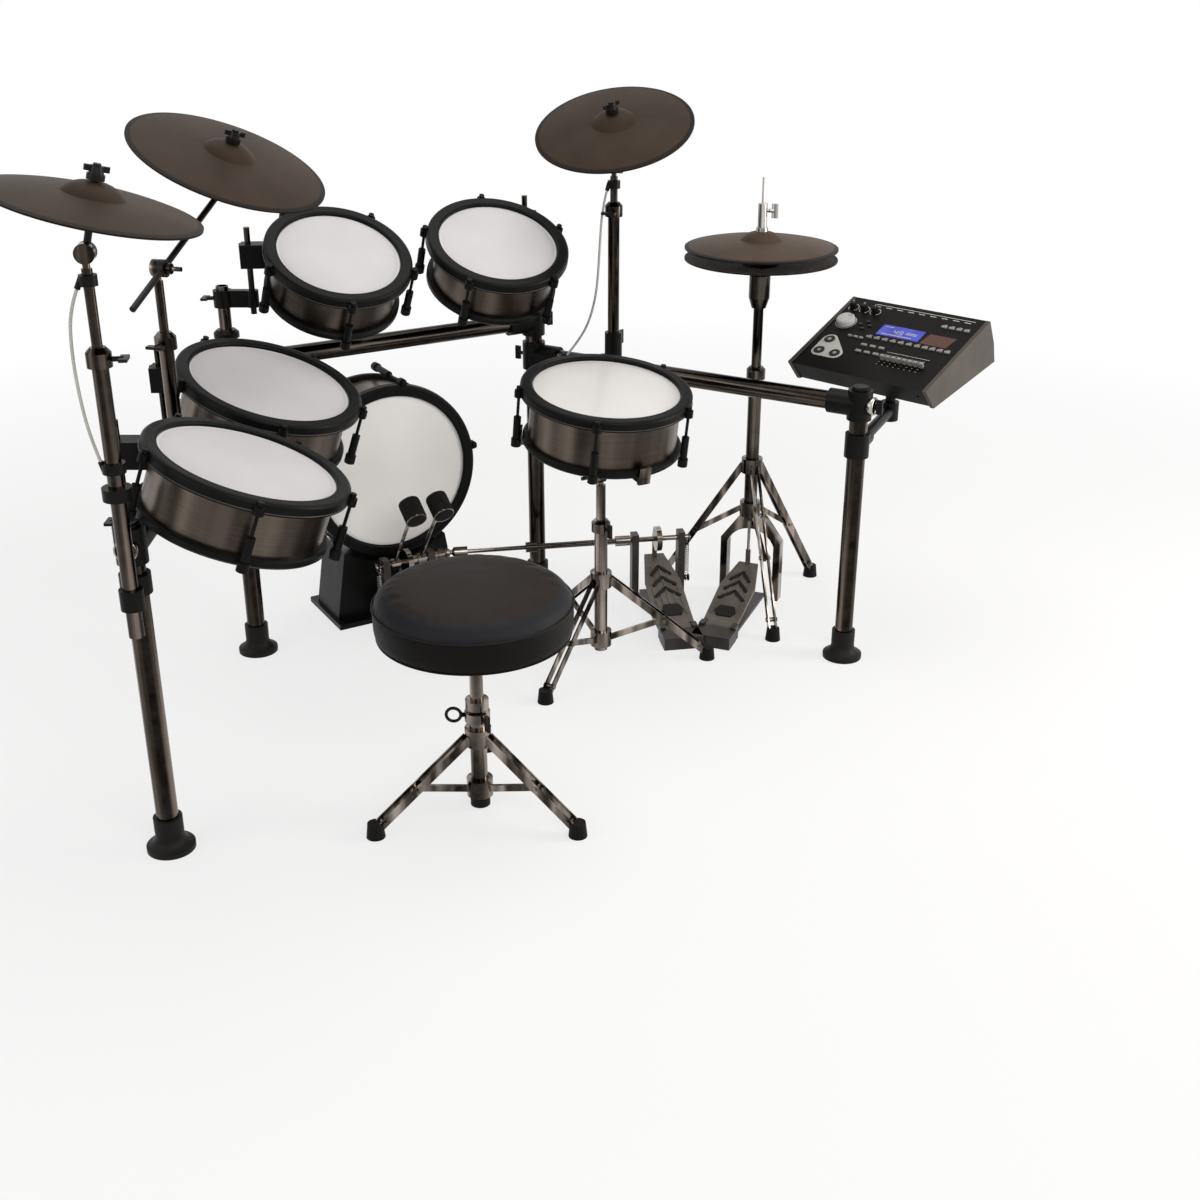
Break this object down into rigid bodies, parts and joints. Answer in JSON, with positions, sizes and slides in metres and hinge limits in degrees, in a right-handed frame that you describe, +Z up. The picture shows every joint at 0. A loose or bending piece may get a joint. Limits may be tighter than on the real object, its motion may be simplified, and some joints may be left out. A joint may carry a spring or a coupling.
{
  "type": "electronic drum kit",
  "caption": "Electronic drum kit on a tube rack: mesh-head toms, snare and kick pads, rubber cymbals, hi-hat, double pedal, sound module and round throne.",
  "frame": {"origin": "on the floor under the middle of the bounding box", "axes": "+X towards the hi-hat and module side, +Y away from the player, +Z up"},
  "size_m": [2.027, 1.2114, 1.1705],
  "materials": {
    "black_chrome": "dark mirror plating",
    "foot_rubber": "matt moulded rubber",
    "cast_black": "die cast, satin black coating",
    "stand_chrome": "smoked chrome",
    "mesh_white": "tight woven mesh",
    "brushed_bronze": "brushed, dark plated",
    "hoop_black": "satin rubber",
    "cymbal_rubber": "matt, finely grooved",
    "pedal_grey": "die cast, satin grey coating",
    "beater_felt": "pressed felt on a plated rod",
    "seat_leather": "fine grained leatherette",
    "cable_grey": "matt sheath",
    "case_dark": "satin painted",
    "screen_blue": "glossy window",
    "dial_pale": "satin",
    "knob_black": "satin",
    "key_pale": "satin"
  },
  "bodies": {
    "rack": {"rack_legs": "black_chrome", "rack_feet": "foot_rubber", "rack_rails": "black_chrome", "rack_clamps": "cast_black", "rack_wing_bolts": "cast_black", "tom_rods": "black_chrome", "cymbal_masts": "black_chrome", "kick_shell": "brushed_bronze", "kick_head": "mesh_white", "kick_hardware": "hoop_black", "kick_stand": "cast_black", "pedal_frames": "cast_black", "hihat_stand": "stand_chrome", "hihat_bottom": "cymbal_rubber", "snare_stand": "stand_chrome", "throne_base": "stand_chrome", "stand_feet": "foot_rubber", "crash_left_cable": "cable_grey", "crash_right_cable": "cable_grey", "module_arm": "black_chrome"},
    "tom_1": {"tom_1_shell": "brushed_bronze", "tom_1_head": "mesh_white", "tom_1_hardware": "hoop_black"},
    "tom_2": {"tom_2_shell": "brushed_bronze", "tom_2_head": "mesh_white", "tom_2_hardware": "hoop_black"},
    "tom_3": {"tom_3_shell": "brushed_bronze", "tom_3_head": "mesh_white", "tom_3_hardware": "hoop_black"},
    "tom_4": {"tom_4_shell": "brushed_bronze", "tom_4_head": "mesh_white", "tom_4_hardware": "hoop_black"},
    "snare": {"snare_shell": "brushed_bronze", "snare_head": "mesh_white", "snare_hardware": "hoop_black", "snare_basket": "stand_chrome"},
    "crash_left_tilter": {"crash_left_arm": "black_chrome"},
    "crash_left_pad": {"crash_left_cymbal": "cymbal_rubber"},
    "ride_tilter": {"ride_arm": "black_chrome"},
    "ride_pad": {"ride_cymbal": "cymbal_rubber"},
    "crash_right_tilter": {"crash_right_arm": "black_chrome"},
    "crash_right_pad": {"crash_right_cymbal": "cymbal_rubber"},
    "hihat_pull": {"hihat_top": "cymbal_rubber", "hihat_rod": "stand_chrome"},
    "hihat_pedal": {"hihat_footboard": "pedal_grey"},
    "kick_pedal": {"kick_footboard": "pedal_grey"},
    "main_beater": {"kick_beater": "beater_felt"},
    "slave_pedal": {"slave_footboard": "pedal_grey"},
    "shaft": {"drive_shaft": "stand_chrome"},
    "left_beater": {"second_beater": "beater_felt"},
    "seat_post": {"throne_post": "stand_chrome"},
    "seat": {"throne_seat": "seat_leather"},
    "module": {"module_case": "case_dark", "module_screen": "screen_blue"},
    "dial": {"module_dial": "dial_pale"},
    "knob_1": {"module_knob_1": "knob_black"},
    "knob_2": {"module_knob_2": "knob_black"},
    "knob_3": {"module_knob_3": "knob_black"},
    "buttons": {"module_buttons": "key_pale"},
    "faders": {"module_faders": "key_pale"}
  },
  "joints": [
    {"name": "tom_1_swivel", "type": "hinge", "parent": "rack", "child": "tom_1", "pos_m": [-0.41672, 0.38559, 0.821], "axis": [0, 0, 1], "range_deg": [-8, 8]},
    {"name": "tom_2_swivel", "type": "hinge", "parent": "rack", "child": "tom_2", "pos_m": [0.1914, 0.36713, 0.819], "axis": [0, 0, 1], "range_deg": [-8, 8]},
    {"name": "tom_3_swivel", "type": "hinge", "parent": "rack", "child": "tom_3", "pos_m": [-0.66747, 0.19086, 0.642], "axis": [0, 0, 1], "range_deg": [-4, 4]},
    {"name": "tom_4_swivel", "type": "hinge", "parent": "rack", "child": "tom_4", "pos_m": [-0.83705, -0.16086, 0.622], "axis": [0, 0, 1], "range_deg": [-4, 4]},
    {"name": "snare_tilt", "type": "hinge", "parent": "rack", "child": "snare", "pos_m": [0.1509, -0.00333, 0.424], "axis": [-1, 0, 0], "range_deg": [-5, 5]},
    {"name": "crash_left_tilt", "type": "hinge", "parent": "rack", "child": "crash_left_tilter", "pos_m": [-0.87664, -0.311, 1.04607], "axis": [0.3925, 0.9198, 0], "range_deg": [-8, 8]},
    {"name": "crash_left_swing", "type": "hinge", "parent": "crash_left_tilter", "child": "crash_left_pad", "pos_m": [-0.85374, -0.32077, 1.14163], "axis": [0.3925, 0.9198, 0], "range_deg": [-8, 8], "stiffness_Nm_per_rad": 25},
    {"name": "ride_tilt", "type": "hinge", "parent": "rack", "child": "ride_tilter", "pos_m": [-0.68261, 0.02088, 0.94], "axis": [0.7067, -0.7075, 0], "range_deg": [-6, 6]},
    {"name": "ride_swing", "type": "hinge", "parent": "ride_tilter", "child": "ride_pad", "pos_m": [-0.50615, 0.14031, 1.11668], "axis": [0.7067, -0.7075, 0], "range_deg": [-8, 8], "stiffness_Nm_per_rad": 25},
    {"name": "crash_right_tilt", "type": "hinge", "parent": "rack", "child": "crash_right_tilter", "pos_m": [0.34524, 0.22899, 1.004], "axis": [0.6534, -0.757, 0], "range_deg": [-8, 8]},
    {"name": "crash_right_swing", "type": "hinge", "parent": "crash_right_tilter", "child": "crash_right_pad", "pos_m": [0.30847, 0.19725, 1.11346], "axis": [0.6534, -0.757, 0], "range_deg": [-8, 8], "stiffness_Nm_per_rad": 25},
    {"name": "hihat_pedal_press", "type": "hinge", "parent": "rack", "child": "hihat_pedal", "pos_m": [0.44763, -0.04216, 0.024], "axis": [-0.6157, 0.788, 0], "range_deg": [0, 4], "stiffness_Nm_per_rad": 25, "springref_deg": -20.05},
    {"name": "hihat_pull_down", "type": "slide", "parent": "rack", "child": "hihat_pull", "axis": [0, 0, 1], "range_m": [-0.016, 0]},
    {"name": "kick_pedal_press", "type": "hinge", "parent": "rack", "child": "kick_pedal", "pos_m": [-0.1168, 0.1567, 0.024], "axis": [-1, 0, 0], "range_deg": [0, 5], "stiffness_Nm_per_rad": 25, "springref_deg": -17.19},
    {"name": "kick_beat", "type": "hinge", "parent": "rack", "child": "main_beater", "pos_m": [-0.1168, 0.3827, 0.15], "axis": [-1, 0, 0], "range_deg": [0, 42.5]},
    {"name": "slave_pedal_press", "type": "hinge", "parent": "rack", "child": "slave_pedal", "pos_m": [0.36574, -0.00028, 0.024], "axis": [-0.9378, 0.3472, 0], "range_deg": [0, 5], "stiffness_Nm_per_rad": 25, "springref_deg": -17.19},
    {"name": "shaft_turn", "type": "hinge", "parent": "rack", "child": "shaft", "pos_m": [0.4442, 0.21167, 0.15], "axis": [-0.9378, 0.3472, 0], "range_deg": [0, 42.5]},
    {"name": "second_beat", "type": "hinge", "parent": "rack", "child": "left_beater", "pos_m": [-0.1168, 0.3827, 0.15], "axis": [-1, 0, 0], "range_deg": [0, 42.5]},
    {"name": "throne_height", "type": "slide", "parent": "rack", "child": "seat_post", "axis": [0, 0, 1], "range_m": [0, 0.1]},
    {"name": "throne_swivel", "type": "hinge", "parent": "seat_post", "child": "seat", "pos_m": [-0.3318, -0.4103, 0.35], "axis": [0, 0, 1], "continuous": true},
    {"name": "module_tilt", "type": "hinge", "parent": "rack", "child": "module", "pos_m": [0.83901, -0.11093, 0.55058], "axis": [0.299, -0.9542, 0], "range_deg": [-12, 12]},
    {"name": "dial_turn", "type": "hinge", "parent": "module", "child": "dial", "pos_m": [0.80683, 0.01836, 0.65986], "axis": [-0.3636, -0.114, 0.9245], "continuous": true},
    {"name": "knob_1_turn", "type": "hinge", "parent": "module", "child": "knob_1", "pos_m": [0.85087, 0.04788, 0.68082], "axis": [-0.3636, -0.114, 0.9245], "range_deg": [-150, 150]},
    {"name": "knob_2_turn", "type": "hinge", "parent": "module", "child": "knob_2", "pos_m": [0.85866, 0.01994, 0.68044], "axis": [-0.3636, -0.114, 0.9245], "range_deg": [-150, 150]},
    {"name": "knob_3_turn", "type": "hinge", "parent": "module", "child": "knob_3", "pos_m": [0.86645, -0.00801, 0.68006], "axis": [-0.3636, -0.114, 0.9245], "range_deg": [-150, 150]},
    {"name": "buttons_press", "type": "slide", "parent": "module", "child": "buttons", "axis": [0.3636, 0.114, -0.9245], "range_m": [0, 0.0015], "stiffness_N_per_m": 600, "springref_m": -0.003},
    {"name": "faders_slide", "type": "slide", "parent": "module", "child": "faders", "axis": [0.8822, 0.2765, 0.3811], "range_m": [-0.015, 0.015]}
  ],
  "couplings": [
    {"joint": "hihat_pull_down", "follows": "hihat_pedal_press", "m_per_rad": -0.219},
    {"joint": "kick_beat", "follows": "kick_pedal_press", "ratio": 8.4},
    {"joint": "shaft_turn", "follows": "slave_pedal_press", "ratio": 8.4},
    {"joint": "second_beat", "follows": "slave_pedal_press", "ratio": 8.4}
  ]
}
